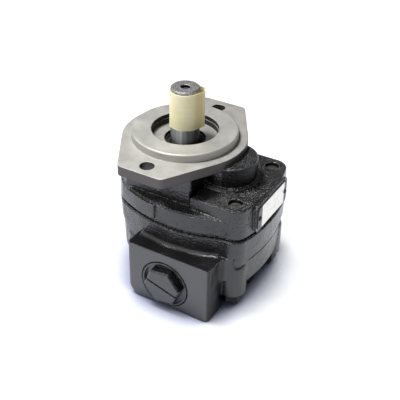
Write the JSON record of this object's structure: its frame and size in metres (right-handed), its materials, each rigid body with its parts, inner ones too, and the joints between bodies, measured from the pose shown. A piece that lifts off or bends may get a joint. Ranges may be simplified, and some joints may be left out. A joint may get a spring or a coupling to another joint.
{
  "type": "hydraulic motor",
  "caption": "Cast-iron hydraulic gear motor with a two-bolt flange, round pilot, keyed shaft in a transport sleeve, and side ports closed with slotted hexagon plugs.",
  "frame": {"origin": "on the drive shaft's axis, in the mounting face of the flange, midway between the two mounting holes", "axes": "+Z out along the drive shaft, X through the two mounting holes, -Y towards the idler gear"},
  "size_m": [0.136, 0.1291, 0.1583],
  "materials": {
    "painted_casting": "semi-gloss black paint on sand-cast iron; flange, pilot and recess are machined bare",
    "shaft_steel": "ground and polished",
    "key_steel": "cold drawn, bright",
    "sleeve_plastic": "thin translucent cream plastic",
    "seal_rubber": "smooth black nitrile",
    "seal_case_steel": "pressed, dull",
    "spring_steel": "drawn wire",
    "bearing_bronze": "bored bronze",
    "plate_bronze": "ground bronze",
    "pin_steel": "ground, hardened",
    "bolt_steel": "black oxide",
    "painted_plug": "painted over with the casting",
    "plate_aluminium": "brushed, left bare",
    "rivet_steel": "dull plated"
  },
  "bodies": {
    "housing": {"front_cover": "painted_casting", "gear_housing": "painted_casting", "seal_case": "seal_case_steel", "seal_lip": "seal_rubber", "seal_spring": "spring_steel", "drive_front_bearing": "bearing_bronze", "idler_front_bearing": "bearing_bronze", "drive_rear_bearing": "bearing_bronze", "idler_rear_bearing": "bearing_bronze", "front_thrust_plate": "plate_bronze", "rear_thrust_plate": "plate_bronze", "thrust_plate_seals": "seal_rubber", "body_seal": "seal_rubber", "dowel_pins": "pin_steel", "assembly_bolts": "bolt_steel", "bolt_washers": "bolt_steel", "port_plug_left": "painted_plug", "port_plug_right": "painted_plug", "plug_seals": "seal_rubber", "name_plate": "plate_aluminium", "plate_rivets": "rivet_steel"},
    "drive_shaft": {"drive_gear_shaft": "shaft_steel", "shaft_key": "key_steel"},
    "idler": {"idler_gear_shaft": "shaft_steel"},
    "protector": {"shaft_protector": "sleeve_plastic"}
  },
  "joints": [
    {"name": "shaft_spin", "type": "hinge", "parent": "housing", "child": "drive_shaft", "pos_m": [0, 0, 0], "axis": [0, 0, 1], "continuous": true},
    {"name": "idler_spin", "type": "hinge", "parent": "housing", "child": "idler", "pos_m": [0, -0.04, 0], "axis": [0, 0, 1], "continuous": true},
    {"name": "protector_slide", "type": "slide", "parent": "drive_shaft", "child": "protector", "axis": [0, 0, 1], "range_m": [0, 0.03]}
  ],
  "couplings": [
    {"joint": "idler_spin", "follows": "shaft_spin", "ratio": -1}
  ]
}
